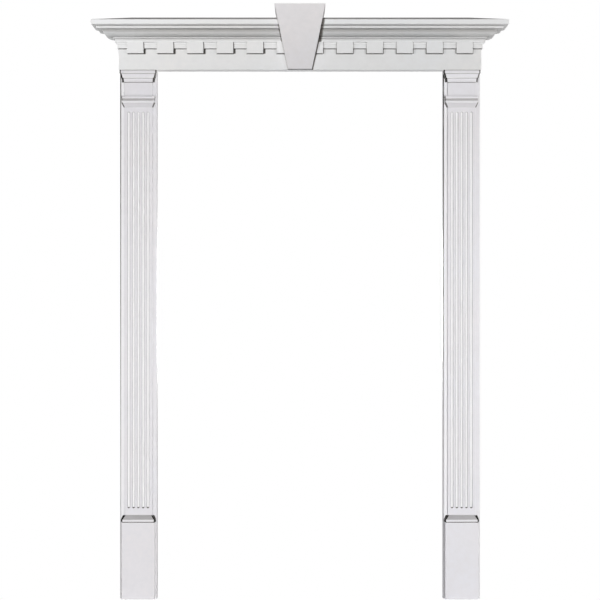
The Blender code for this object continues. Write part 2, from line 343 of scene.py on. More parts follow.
class Outline:
    """The section of a moulding, drawn upwards as (distance out, height) points."""

    def __init__(self, out=0.0):
        self.points = [(out, 0.0)]

    @property
    def out_now(self):
        return self.points[-1][0]

    @property
    def height(self):
        return self.points[-1][1]

    def line(self, out, rise):
        self.points.append((self.out_now + out, self.height + rise))
        return self

    def up(self, rise):
        return self.line(0.0, rise)

    def step(self, out):
        return self.line(out, 0.0)

    def upright_first(self, out, rise):
        """A quarter of an ellipse that starts upright and ends level."""
        return self._arc(lambda t: (out * (1 - math.cos(t)), rise * math.sin(t)))

    def level_first(self, out, rise):
        """A quarter of an ellipse that starts level and ends upright."""
        return self._arc(lambda t: (out * math.sin(t), rise * (1 - math.cos(t))))

    def _arc(self, offset):
        out, height = self.points[-1]
        for t in quarter_turn(ARC_STEPS)[1:]:
            along, up = offset(t)
            self.points.append((out + along, height + up))
        return self


def cornice_outline():
    """The crosshead's section between two dentils, from its underside to its fascia."""
    outline = Outline()
    outline.up(FRIEZE_HEIGHT).step(BAND_OUT).up(BAND_HEIGHT)
    outline.upright_first(DENTIL_THICKNESS + BED_REVEAL, BED_COVE_HEIGHT).up(BED_FILLET_HEIGHT)
    outline.upright_first(LISTEL_OUT, LISTEL_COVE_HEIGHT).up(LISTEL_HEIGHT)
    outline.step(OVOLO_STEP).level_first(OVOLO_OUT, OVOLO_HEIGHT)
    outline.line(CORONA_OUT, CORONA_SOFFIT_RISE).up(CORONA_HEIGHT)
    return outline.line(FASCIA_OUT, FASCIA_SOFFIT_RISE).up(FASCIA_HEIGHT)


def panel_depth():
    """The panel's face, measured from the wall."""
    return PLATE_DEPTH + PANEL_RAISE


def frieze_depth():
    """The frieze's face, measured from the wall: it stands proud of the pilasters' crowns."""
    crown = CROWN_STEP + CROWN_COVE_OUT + CROWN_SPLAY_STEP + CROWN_SPLAY_OUT + CROWN_CAP_STEP
    return panel_depth() + crown + FRIEZE_REVEAL


def frieze_half_length():
    return OPENING_WIDTH / 2 + PLATE_WIDTH + END_REVEAL


def crosshead_outline():
    """The whole section: the top slopes back from the fascia to a ledge along the wall."""
    outline = cornice_outline()
    return outline.line(TOP_LEDGE - frieze_depth() - outline.out_now, WASH_RISE)


def plinth_outline():
    """The plinth block and its cap, ending flush with the panel."""
    outline = Outline(PLINTH_OUT)
    outline.up(PLINTH_HEIGHT).step(-PLINTH_QUIRK).up(PLINTH_QUIRK)
    outline.step(PLINTH_QUIRK + PLINTH_CAP_OVERHANG).up(PLINTH_CAP_FILLET)
    return outline.line(-PLINTH_OUT - PLINTH_CAP_OVERHANG, PLINTH_CAP_SPLAY)


def shaft_span():
    """The heights of the panel's foot, on the plinth, and of its head, under the neck moulding."""
    neck = NECK_BEVEL + NECK_FILLET + NECK_ROUND_HEIGHT
    crown = CROWN_COVE_HEIGHT + CROWN_SPLAY_HEIGHT + CROWN_CAP_HEIGHT
    return plinth_outline().height, PILASTER_HEIGHT - neck - NECKING_HEIGHT - crown


def capital_heights():
    """The heights at which the neck's round and the crown's cove, splay and cap start."""
    head = shaft_span()[1]
    neck_round = head + NECK_BEVEL + NECK_FILLET
    crown = neck_round + NECK_ROUND_HEIGHT + NECKING_HEIGHT
    splay = crown + CROWN_COVE_HEIGHT
    return neck_round, crown, splay, splay + CROWN_SPLAY_HEIGHT


def pilaster_outline():
    """The raised part of a pilaster from the ground up: plinth, panel, neck and crown."""
    foot, head = shaft_span()
    outline = plinth_outline().up(head - foot)
    outline.line(NECK_OUT, NECK_BEVEL).up(NECK_FILLET).step(-NECK_ROUND_SET_BACK)
    outline.level_first(NECK_ROUND_OUT, NECK_ROUND_HEIGHT)
    outline.step(NECK_ROUND_SET_BACK - NECK_ROUND_OUT - NECK_OUT).up(NECKING_HEIGHT)
    outline.step(CROWN_STEP).upright_first(CROWN_COVE_OUT, CROWN_COVE_HEIGHT)
    outline.step(CROWN_SPLAY_STEP).line(CROWN_SPLAY_OUT, CROWN_SPLAY_HEIGHT)
    return outline.step(CROWN_CAP_STEP).up(CROWN_CAP_HEIGHT)


def softened(points):
    """The section with its corners rounded, as (out, height, edge) points.

    The edge is 1 on a rounded arris, -1 in a crease and 0 on the plain surfaces between.
    """
    soft = [(*points[0], 0.0)]
    for before, here, after in zip(points, points[1:], points[2:]):
        peak = Vector(here)
        into = peak - Vector(before)
        away = Vector(after) - peak
        turn = into.angle_signed(away)
        if abs(turn) < CORNER_TURN:
            soft.append((*here, 0.0))
            continue
        edge = -1.0 if turn > 0 else 1.0
        radius = ARRIS_RADIUS if edge > 0 else CREASE_RADIUS
        spread = SHOULDER if edge > 0 else CREASE_SPREAD
        room = min(into.length * ROUNDING_SHARE, away.length * ROUNDING_SHARE)
        reach = min(radius * math.tan(abs(turn) / 2), room)
        start = peak - into.normalized() * reach
        end = peak + away.normalized() * reach
        if into.length > SPREAD_ROOM * spread:
            soft.append((*(peak - into.normalized() * spread), 0.0))
        for i in range(CORNER_STEPS + 1):
            t = i / CORNER_STEPS
            at = start.lerp(peak, t).lerp(peak.lerp(end, t), t)
            soft.append((*at, edge * (1 - abs(2 * t - 1) * ROUNDING_FADE)))
        if away.length > SPREAD_ROOM * spread:
            soft.append((*(peak + away.normalized() * spread), 0.0))
    soft.append((*points[-1], 0.0))
    return soft


def marked(section, marks):
    """The section with the painted shade and light of some of its mouldings set.

    Each mark is (lowest, highest, edge on the plain surfaces, times the painted shade in the
    creases).
    Where two overlap, the first one sets the plain surfaces.
    """
    result = []
    for out, height, edge in section:
        for low, high, plain, times in marks:
            if low <= height <= high and edge <= 0.0:
                edge = edge * times if edge < 0.0 else plain
        result.append((out, height, edge))
    return result


def finished(name, bm, material, centre_x=0.0, lift=0.0):
    """Makes the bmesh a piece of the surround: merged, shaded and placed."""
    bmesh.ops.remove_doubles(bm, verts=bm.verts, dist=MERGE_DISTANCE)
    bmesh.ops.dissolve_degenerate(bm, edges=bm.edges, dist=MERGE_DISTANCE)
    bmesh.ops.recalc_face_normals(bm, faces=bm.faces)
    bmesh.ops.translate(bm, verts=bm.verts, vec=(centre_x, 0.0, lift))
    mesh = bpy.data.meshes.new(name)
    bm.to_mesh(mesh)
    bm.free()
    mesh.materials.append(material)
    mesh.shade_smooth()
    mesh.set_sharp_from_angle(angle=SMOOTH_ANGLE)
    piece = bpy.data.objects.new(name, mesh)
    bpy.context.scene.collection.objects.link(piece)
    weighted = piece.modifiers.new("Flat faces stay flat", "WEIGHTED_NORMAL")
    weighted.keep_sharp = True
    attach(piece, "root")
    return piece


def new_layers(bm):
    """The layers that hold the edge values: the lighter ones, rubbed and painted highlight, and
    the darker ones, dust and painted shade.
    """
    return bm.verts.layers.float.new("arris"), bm.verts.layers.float.new("crease")


def add_ring(bm, layers, ring):
    """Adds one closed ring of (x, y, z, edge) points."""
    verts = []
    for x, y, z, edge in ring:
        vert = bm.verts.new((x, y, z))
        vert[layers[0]] = max(edge, 0.0)
        vert[layers[1]] = max(-edge, 0.0)
        verts.append(vert)
    return verts


def add_level_ring(bm, layers, points, height):
    """Adds one closed ring of (x, y, edge) points at one height."""
    return add_ring(bm, layers, [(x, y, height, edge) for x, y, edge in points])


def join_rings(bm, low, high, missing=None):
    """Faces between two rings, all the way round but for the missing one."""
    for i in range(len(low)):
        if i != missing:
            j = (i + 1) % len(low)
            bm.faces.new((low[i], low[j], high[j], high[i]))


def close_stack(bm, rings, open_level=None, open_face=None):
    """Joins a stack of rings and closes its ends; one face may be left open at one level."""
    for level, (low, high) in enumerate(zip(rings, rings[1:])):
        join_rings(bm, low, high, open_face if level == open_level else None)
    bm.faces.new(rings[0])
    bm.faces.new(rings[-1])


def ring_edges(bm, verts):
    return [bm.edges.get((verts[i - 1], verts[i])) for i in range(len(verts))]


def stronger(a, b):
    """Of two edge values that meet at a point, the one that shows more."""
    return a if abs(a) >= abs(b) else b


def mirrored(points):
    """The points of a left half, turned over to go on as the right half."""
    return [(-x, y, edge) for x, y, edge in reversed(points)]


def corner(side, front, edge):
    """Points round the left upright arris, from the return to the front."""
    points = []
    for t in quarter_turn():
        x = side - ARRIS_RADIUS * (1 - math.cos(t))
        y = front - ARRIS_RADIUS * (1 - math.sin(t))
        points.append((-x, -y, stronger(math.sin(2 * t), edge)))
    return points


def dentil_foot():
    return FRIEZE_HEIGHT - DENTIL_DROP


def dentil_top():
    return FRIEZE_HEIGHT + BAND_HEIGHT + BED_COVE_HEIGHT


def dentil_profile(height):
    """How far the dentils stand out at a height, or None above and below them."""
    out = BAND_OUT + DENTIL_THICKNESS
    if not dentil_foot() <= height <= dentil_top():
        return None
    rise = min(height - dentil_foot(), ARRIS_RADIUS)
    lean = ARRIS_RADIUS - rise
    return out - ARRIS_RADIUS + math.sqrt(max(ARRIS_RADIUS**2 - lean**2, 0.0))


def crosshead_marks():
    """The painted shade and painted highlight on the crosshead's mouldings."""
    fascia = cornice_outline().height - FASCIA_HEIGHT
    listel = dentil_top() + BED_FILLET_HEIGHT + LISTEL_COVE_HEIGHT
    ovolo = listel + LISTEL_HEIGHT
    ovolo_top = ovolo + OVOLO_HEIGHT
    return (
        (FRIEZE_HEIGHT - CREASE_RADIUS, FRIEZE_HEIGHT + CREASE_RADIUS, 0.0, BAND_CREASE),
        (dentil_top() - BED_COVE_HEIGHT / 2, dentil_top(), COVE_HIGHLIGHT, 1.0),
        (listel - LISTEL_COVE_HEIGHT, listel, -LISTEL_COVE_SHADE, 1.0),
        (ovolo - CREASE_RADIUS, ovolo, 0.0, LISTEL_CREASE),
        (fascia + SHOULDER / 2, fascia + FASCIA_HEIGHT - SHOULDER / 2, FASCIA_LIGHT, 1.0),
        (ovolo_top - OVOLO_HEIGHT * OVOLO_TOP_SHARE, ovolo_top, -OVOLO_TOP_SHADE, 1.0),
        (ovolo_top - OVOLO_HEIGHT * OVOLO_UPPER_SHARE, ovolo_top, -OVOLO_UPPER_SHADE, 1.0),
        (ovolo, ovolo_top, -OVOLO_SHADE, 1.0),
        (ovolo_top, ovolo_top + CORONA_SOFFIT_RISE, -CORONA_SOFFIT_SHADE, 1.0),
        (fascia - FASCIA_SOFFIT_RISE, fascia, -FASCIA_SOFFIT_SHADE, 1.0),
    )


def crosshead_section():
    """The levels of the crosshead, from the underside up.

    Each is (out, height, edge, the dentils' out, the dentils' edge).
    """
    foot = dentil_foot()
    section = marked(softened(crosshead_outline().points), crosshead_marks())
    levels = [(*point, point[0], point[2]) for point in section if point[1] < foot]
    levels.append((0.0, foot - CREASE_SPREAD, 0.0, 0.0, 0.0))
    # Painted shadow along the dentils' foot
    levels.append((0.0, foot, 0.0, 0.0, -DENTIL_FOOT_SHADOW))
    for t in quarter_turn():
        height = foot + ARRIS_RADIUS * (1 - math.cos(t))
        levels.append((0.0, height, 0.0, dentil_profile(height), math.sin(2 * t)))
    levels.append((0.0, foot + SHOULDER, 0.0, dentil_profile(foot + SHOULDER), 0.0))
    for out, height, edge in section:
        if height <= foot + SHOULDER:
            continue
        proud = dentil_profile(height)
        covered = proud is not None and proud > out
        levels.append((out, height, edge, proud if covered else out, 0.0 if covered else edge))
    return levels


def keystone_top():
    return crosshead_outline().height + KEYSTONE_RISE


def keystone_half_width(height):
    taper = KEYSTONE_HEAD_WIDTH - KEYSTONE_FOOT_WIDTH
    return (KEYSTONE_FOOT_WIDTH + taper * height / keystone_top()) / 2


def keystone_shade_width(height):
    """How far the painted shadow reaches from the keystone's right side: furthest just over the
    dentils.
    """
    if height <= dentil_top():
        return KEYSTONE_SHADOW_RIGHT_WIDTH * KEYSTONE_SHADOW_AT_FOOT
    share = (height - dentil_top()) / (crosshead_outline().height - dentil_top())
    return KEYSTONE_SHADOW_RIGHT_WIDTH * (1 - (1 - KEYSTONE_SHADOW_AT_HEAD) * share)


def keystone_shadow(x, height):
    """The painted shadow on the crosshead beside the keystone and behind it, heavier on the right.
    """
    away = abs(x) - keystone_half_width(height)
    if x > 0:
        share = max(away, 0.0) / keystone_shade_width(height)
        return KEYSTONE_SHADOW_RIGHT * max(1.0 - share**KEYSTONE_SHADOW_POWER, 0.0)
    if away < KEYSTONE_SHADOW_LEFT_WIDTH * KEYSTONE_SHADOW_LEFT_FULL:
        sheltered = dentil_top() < height < cornice_outline().height - FASCIA_HEIGHT
        return KEYSTONE_SHADOW_LEFT if sheltered else KEYSTONE_JOINT_LEFT
    if away <= KEYSTONE_SHADE_LEFT_WIDTH * KEYSTONE_SHADE_LEFT_FULL:
        return KEYSTONE_SHADE_LEFT
    return 0.0


def dentil_stations(height, out, edge, proud, proud_edge):
    """Points along the front at one height, as (x, out, edge): over each dentil and its sides.

    The rest follow the keystone's two sides, where a painted shadow lies along the joint.
    """
    half = DENTIL_WIDTH / 2
    outer = frieze_half_length() - DENTIL_END_MARGIN - half
    pitch = 2 * outer / (DENTIL_COUNT - 1)
    over_band = int(height > FRIEZE_HEIGHT)
    stands = proud - out > ARRIS_RADIUS
    radius = ARRIS_RADIUS if stands else 0.0
    face = []
    for t in quarter_turn():
        x = -half + radius * (1 - math.cos(t))
        y = proud - radius * (1 - math.sin(t))
        face.append((x, y, stronger(math.sin(2 * t), proud_edge) if stands else proud_edge))
    face.append((-half + SHOULDER, proud, proud_edge))
    stations = []
    for i in range(DENTIL_COUNT):
        centre = i * pitch - outer
        left, right = centre - half, centre + half
        # Painted shade at the dentils' sides, darker on the side away from the light
        left_shade = (DENTIL_LIT if centre < 0 else DENTIL_PLAIN)[over_band]
        right_shade = (DENTIL_SHADED if centre < 0 else DENTIL_PLAIN)[over_band]
        spread = CREASE_SPREAD if over_band or centre > 0 else DENTIL_SHADED_WIDTH
        fading = right_shade * SHADE_MIDWAY
        stations.append((left - CREASE_SPREAD, out, edge))
        stations.append((left, out, -left_shade if stands else edge))
        stations += [(centre + x, y, e) for x, y, e in face + mirrored(face)]
        stations.append((right, out, -right_shade if stands else edge))
        stations.append((right + spread / 2, out, -fading if stands else edge))
        stations.append((right + spread, out, edge))
    joint = keystone_half_width(height)
    shaded = keystone_shade_width(height)
    beside = (-KEYSTONE_SHADE_LEFT_WIDTH, -KEYSTONE_SHADOW_LEFT_WIDTH, 0.0)
    stations += [(x - joint, proud, proud_edge) for x in beside]
    stations += [(joint + x, proud, proud_edge) for x in (0.0, shaded / 2, shaded)]
    stations = [(x, y, stronger(e, -keystone_shadow(x, height))) for x, y, e in stations]
    return sorted(stations, key=lambda station: station[0])


def make_crosshead(material):
    """The frieze with its dentils, mouldings, cornice, end returns and sloping top."""
    bm = bmesh.new()
    layers = new_layers(bm)
    half, depth = frieze_half_length(), frieze_depth()
    rings = []
    for out, height, edge, proud, proud_edge in crosshead_section():
        side, front = half + out, depth + out
        left = [(-side, 0.0, edge), (-side, -max(front - SHOULDER, 0.0), edge)]
        left += corner(side, front, edge)
        left.append((-side + SHOULDER, -front, edge))
        middle = dentil_stations(height, out, edge, proud, proud_edge)
        limit = side - SHOULDER
        middle = [(min(max(x, -limit), limit), -(depth + o), e) for x, o, e in middle]
        rings.append(add_level_ring(bm, layers, left + middle + mirrored(left), height))
    close_stack(bm, rings)
    piece = finished("crosshead_moulding", bm, material, lift=-MOUNT_RISE)
    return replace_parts(piece, "crosshead")


def keystone_seat():
    """The section that the keystone is cut to: the crosshead's own, taken through a dentil."""
    dentil = BAND_OUT + DENTIL_THICKNESS
    points = crosshead_outline().points
    below = [p for p in points if p[1] < dentil_foot()]
    above = [p for p in points if p[1] > dentil_foot()]
    above = [(max(out, dentil) if height < dentil_top() else out, height) for out, height in above]
    return below + [(0.0, dentil_foot()), (dentil, dentil_foot())] + above


def make_keystone(material):
    """The wedge over the middle of the crosshead, its front tapered and leaning out."""
    bm = bmesh.new()
    layers = new_layers(bm)
    depth = frieze_depth()
    cornice = cornice_outline()
    top = keystone_top()
    batter = (cornice.out_now + KEYSTONE_LEAD - KEYSTONE_FOOT_OUT) / cornice.height
    gap = 2 * JOINT_GAP
    seat = [(out + gap, height - gap if out > 0 else height) for out, height in keystone_seat()]
    seat += [(-depth, crosshead_outline().height + gap)]

    def ring(back, height, inset=0.0, edge=0.0):
        """One level of the wedge: its back is cut to the seat and its corners are rounded."""
        half = keystone_half_width(height) - inset
        front = depth + KEYSTONE_FOOT_OUT + batter * height - inset
        left = [(-half, -(depth + back), edge), (-half, -(front - SHOULDER), edge)]
        left += corner(half, front, edge)
        left.append((-half + SHOULDER, -front, edge))
        return add_level_ring(bm, layers, left + mirrored(left), height)

    rounding = []
    for t in quarter_turn():
        inset, rise = ARRIS_RADIUS * (1 - math.sin(t)), ARRIS_RADIUS * (1 - math.cos(t))
        rounding.append((inset, rise, math.sin(2 * t)))
    rings = [ring(gap, rise, inset, edge) for inset, rise, edge in rounding]
    rings.append(ring(gap, SHOULDER))
    rings += [ring(out, height) for out, height in seat if height > SHOULDER]
    rings.append(ring(-depth, top - SHOULDER))
    rings += [ring(-depth, top - rise, inset, edge) for inset, rise, edge in reversed(rounding)]
    close_stack(bm, rings)
    piece = finished("keystone_block", bm, material, lift=-MOUNT_RISE)
    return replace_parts(piece, "keystone")


def plate_side():
    """The right side of the backing plate's plan, from the wall round its soft front edge."""
    half = PLATE_WIDTH / 2
    points = [(half, 0.0, 0.0), (half, PLATE_DEPTH - PLATE_EDGE_RADIUS, 0.0)]
    for t in quarter_turn(2 * CORNER_STEPS)[1:]:
        x = half - PLATE_EDGE_RADIUS * (1 - math.cos(t))
        y = PLATE_DEPTH - PLATE_EDGE_RADIUS * (1 - math.sin(t))
        points.append((x, y, PLATE_EDGE_RUB * math.sin(2 * t)))
    return points


def flute_profile():
    """A flute's half section from its lip down to its middle.

    Each point is (distance from the middle, depth, edge).
    """
    radius = (FLUTE_WIDTH**2 / 4 + FLUTE_DEPTH**2) / (2 * FLUTE_DEPTH)
    half_angle = math.asin(FLUTE_WIDTH / 2 / radius)
    profile = []
    for i in range(CORNER_STEPS + 1):
        t = half_angle * i / CORNER_STEPS
        reach = FLUTE_WIDTH / 2 + FLUTE_LIP_RADIUS * (1 - math.sin(t))
        depth = FLUTE_LIP_RADIUS * (1 - math.cos(t))
        profile.append((reach, depth, FLUTE_LIP_RUB * math.sin(2 * t)))
    lip_depth = profile[-1][1]
    for i in range(1, FLUTE_ARC_STEPS + 1):
        t = half_angle * (1 - i / FLUTE_ARC_STEPS)
        depth = radius * math.cos(t) - radius + FLUTE_DEPTH
        # Painted highlight along the flute's bottom, painted shade on its walls
        lightened = i >= FLUTE_ARC_STEPS * (1 - FLUTE_HIGHLIGHT_SHARE)
        if depth > lip_depth:
            reach = max(radius * math.sin(t), FLUTE_FLAT)
            profile.append((reach, depth, FLUTE_HIGHLIGHT if lightened else -FLUTE_WALL_SHADE))
    return profile


def make_flute(bm, layers, x, face):
    """One round-ended flute cut into the panel's face; returns the edges of its mouth."""
    foot, head = shaft_span()
    low = foot + FLUTE_FOOT_MARGIN + FLUTE_WIDTH / 2
    high = head - FLUTE_HEAD_MARGIN - FLUTE_WIDTH / 2
    rings = []
    for reach, depth, edge in flute_profile():
        ring = []
        for end, start in ((high, 0.0), (low, math.pi)):
            for i in range(FLUTE_END_STEPS + 1):
                t = start + math.pi * i / FLUTE_END_STEPS
                # Painted shadow in the flute's lower end, which faces up
                low_end = max(-math.sin(t), 0.0) ** 2 if end == low and depth > 0.0 else 0.0
                near_foot = low_end * min(1.0, 2.0 * reach / FLUTE_WIDTH)
                shadow = FLUTE_FOOT_SHADOW * near_foot**FLUTE_FOOT_FADE
                across, along = x + reach * math.cos(t), end + reach * math.sin(t)
                ring.append((across, -(face - depth), along, edge * (1.0 - near_foot) - shadow))
        rings.append(add_ring(bm, layers, ring))
    for outer, inner in zip(rings, rings[1:]):
        join_rings(bm, outer, inner)
    bm.faces.new(rings[-1])
    return ring_edges(bm, rings[0])


def return_shadow(height, right):
    """How strong the painted shadow at the raised part's sides is, and its reach over plate and
    front.
    """
    foot, head = shaft_span()
    neck_round, crown, _, _ = capital_heights()
    share = RIGHT_SHARE if right else 1.0
    if PLINTH_HEIGHT < height <= foot:
        return CAP_SHADOW, CAP_SHADOW_WIDTH, CAP_MARK_WIDTH
    if head <= height <= head + NECK_BEVEL:
        return NECK_SHADOW * share, RETURN_SHADOW_WIDTH * share, 0.0
    if neck_round <= height <= neck_round + NECK_ROUND_HEIGHT:
        return NECK_ROUND_SHADOW * share, RETURN_SHADOW_WIDTH * share, 0.0
    if height >= crown:
        return CROWN_SHADOW * share, RETURN_SHADOW_WIDTH * share, CROWN_MARK_WIDTH * share
    return (0.0 if right else PANEL_SHADE), SHOULDER, 0.0


def face_half(side, front, edge, margin, lightened, side_shadow):
    """A pilaster's left half from the plate's margin to the front, with painted light on its
    margin and painted shadow at its side.
    """
    shadow, spread, mark = side_shadow
    reach = min(side + spread, margin)
    points = [
        (-max(margin - PLATE_EDGE_WIDTH, reach), -PLATE_DEPTH, lightened),
        (-reach, -PLATE_DEPTH, lightened),
        (-min(side + spread / 2, margin), -PLATE_DEPTH, -shadow * SHADE_MIDWAY),
        (-side, -PLATE_DEPTH, -shadow),
        (-side, -(PLATE_DEPTH + RETURN_CLIMB * PANEL_RAISE), edge),
    ]
    only_shade = shadow <= SHADOW_RANGE[0]
    points += [(x, y, e if only_shade else -shadow) for x, y, e in corner(side, front, edge)]
    if mark:
        points.append((-side + mark, -front, -shadow))
    else:
        points.append((-side + SHOULDER, -front, edge))
    return points + [(-side + FRONT_PLAIN_FROM, -front, edge)]


def pilaster_ring(out, height, edge):
    """One level of a pilaster: each half runs from the wall over the plate to the front."""
    side, front = PANEL_WIDTH / 2 + out, panel_depth() + out
    share = PLATE_EDGE_AT_FOOT + (1 - PLATE_EDGE_AT_FOOT) * height / PILASTER_HEIGHT
    # Painted shade along the plate's left edge, away from the light
    edge_shadow = PLATE_EDGE_SHADOW * share
    rubbed = [(-max(x, side), -y, e) for x, y, e in plate_side()]
    shaded_edge = [(x, y, -edge_shadow if e > LEAST_RUB else 0.0) for x, y, e in rubbed]
    margin = -rubbed[-1][0]
    wide = margin - side > MARGIN_WIDE
    # The margins are painted lighter where the raised part's shade falls
    lightened = MARGIN_LIGHT_LEFT if wide else 0.0
    left = shaded_edge + face_half(side, front, edge, margin, lightened, return_shadow(height, False))
    lightened = MARGIN_LIGHT_RIGHT if wide else NARROW_LIGHT_RIGHT
    right = rubbed + face_half(side, front, edge, margin, lightened, return_shadow(height, True))
    return left + mirrored(right)


def pilaster_marks():
    """The painted shade on a pilaster's mouldings."""
    head = shaft_span()[1]
    neck_round, crown, splay, cap = capital_heights()
    neck_middle = neck_round + NECK_ROUND_HEIGHT / 2
    near = 2 * CREASE_RADIUS
    return (
        (PLINTH_HEIGHT - near, PLINTH_HEIGHT + PLINTH_QUIRK + near, 0.0, PLINTH_CREASE),
        (head - near, head + near, 0.0, NECK_FOOT_CREASE),
        (head + near, neck_round - NECK_FILLET - near, -NECK_BEVEL_SHADE, 1.0),
        (neck_round - near, neck_middle, -NECK_ROUND_SHADE, NECK_ROUND_CREASE),
        (crown - NECKING_HEIGHT - near, crown - NECKING_HEIGHT + near, 0.0, NECK_TOP_CREASE),
        (crown - near, crown + near, 0.0, CROWN_FOOT_CREASE),
        (splay - CROWN_COVE_HEIGHT / 4, splay - near, -CROWN_COVE_SHADE, 1.0),
        (splay - near, splay + near, 0.0, CROWN_CREASE),
        (cap - near, cap + near, 0.0, CROWN_CREASE),
    )


def pilaster_section():
    """The levels of a pilaster as (out, height, edge), up to the joint at its top, painted as a
    shadow line.
    """
    section = marked(softened(pilaster_outline().points), pilaster_marks())
    out, height, _ = section[-1]
    return section[:-1] + [(out, height - TOP_JOINT_WIDTH, 0.0), (out, height, -TOP_JOINT_SHADOW)]


def pilaster_centre(side):
    return side * (OPENING_WIDTH + PLATE_WIDTH) / 2


def make_pilaster(name, side, material):
    """The plate with its raised part, the flutes cut into the front of the panel."""
    bm = bmesh.new()
    layers = new_layers(bm)
    foot = shaft_span()[0]
    rings = []
    shaft = None
    for out, height, edge in pilaster_section():
        at_panel = out < TOLERANCE and height >= foot - TOLERANCE
        if shaft is None and at_panel and edge == 0.0:
            shaft = len(rings)
        rings.append(add_level_ring(bm, layers, pilaster_ring(out, height, edge), height))
    middle = len(rings[0]) // 2 - 1
    close_stack(bm, rings, open_level=shaft, open_face=middle)
    low, high = rings[shaft], rings[shaft + 1]
    border = ring_edges(bm, (low[middle + 1], high[middle + 1], high[middle], low[middle]))
    for i in range(FLUTE_COUNT):
        x = (i - (FLUTE_COUNT - 1) / 2) * FLUTE_PITCH
        border += make_flute(bm, layers, x, panel_depth())
    bmesh.ops.triangle_fill(
        bm,
        use_beauty=True,
        use_dissolve=False,
        edges=border,
        normal=(0.0, -1.0, 0.0),
    )
    lift = -MOUNT_RISE - JOINT_GAP - PILASTER_HEIGHT
    centre_x = pilaster_centre(side)
    piece = finished(f"{name}_moulding", bm, material, centre_x, lift)
    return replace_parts(piece, name)


class Nodes:
    """Short calls for building one material's node tree."""

    def __init__(self, name):
        self.material = bpy.data.materials.new(name)
        self.material.use_nodes = True
        self.tree = self.material.node_tree
        self.shader = self.tree.nodes["Principled BSDF"]

    def add(self, kind, **settings):
        node = self.tree.nodes.new(kind)
        for key, value in settings.items():
            setattr(node, key, value)
        return node

    def link(self, source, target):
        self.tree.links.new(source, target)

    def noise(self, kind, offset):
        """Noise in the object's own space, moved by an offset so that no two are alike."""
        where = self.add("ShaderNodeTexCoord")
        moved = self.add("ShaderNodeMapping")
        moved.inputs["Location"].default_value = offset
        self.link(where.outputs["Object"], moved.inputs["Vector"])
        noise = self.add("ShaderNodeTexNoise")
        for socket, number in zip(("Scale", "Detail", "Roughness"), kind):
            noise.inputs[socket].default_value = number
        self.link(moved.outputs["Vector"], noise.inputs["Vector"])
        return noise.outputs["Fac"]

    def spread(self, value, span, to=(0.0, 1.0)):
        """The value's span from low to high, stretched over another span and clamped."""
        ranged = self.add("ShaderNodeMapRange")
        sockets = ("From Min", "From Max", "To Min", "To Max")
        for socket, number in zip(sockets, (*span, *to)):
            ranged.inputs[socket].default_value = number
        self.link(value, ranged.inputs["Value"])
        return ranged.outputs["Result"]

    def times(self, a, b):
        product = self.add("ShaderNodeMath", operation="MULTIPLY")
        self.link(a, product.inputs[0])
        self.link(b, product.inputs[1])
        return product.outputs["Value"]

    def mix(self, factor, a, b):
        """Two colours mixed; each is a tuple or the output of another node."""
        mixed = self.add("ShaderNodeMix", data_type="RGBA")
        self.link(factor, mixed.inputs["Factor"])
        for socket, value in ((mixed.inputs[6], a), (mixed.inputs[7], b)):
            if isinstance(value, tuple):
                socket.default_value = (*value, 1.0)
            else:
                self.link(value, socket)
        return mixed.outputs[2]

    def attribute(self, name):
        return self.add("ShaderNodeAttribute", attribute_name=name).outputs["Fac"]

    def upward(self):
        """How far the surface faces up: 1 on a level one."""
        facing = self.add("ShaderNodeNewGeometry")
        parts = self.add("ShaderNodeSeparateXYZ")
        self.link(facing.outputs["True Normal"], parts.inputs["Vector"])
        return parts.outputs["Z"]

    def bump(self, height, strength, depth, under=None):
        """The normal, bent by the height, over another bump where one is given."""
        node = self.add("ShaderNodeBump")
        node.inputs["Strength"].default_value = strength
        node.inputs["Distance"].default_value = depth
        self.link(height, node.inputs["Height"])
        if under is not None:
            self.link(under, node.inputs["Normal"])
        return node.outputs["Normal"]


def tinted(colour, tint):
    return tuple(c * t for c, t in zip(colour, tint))


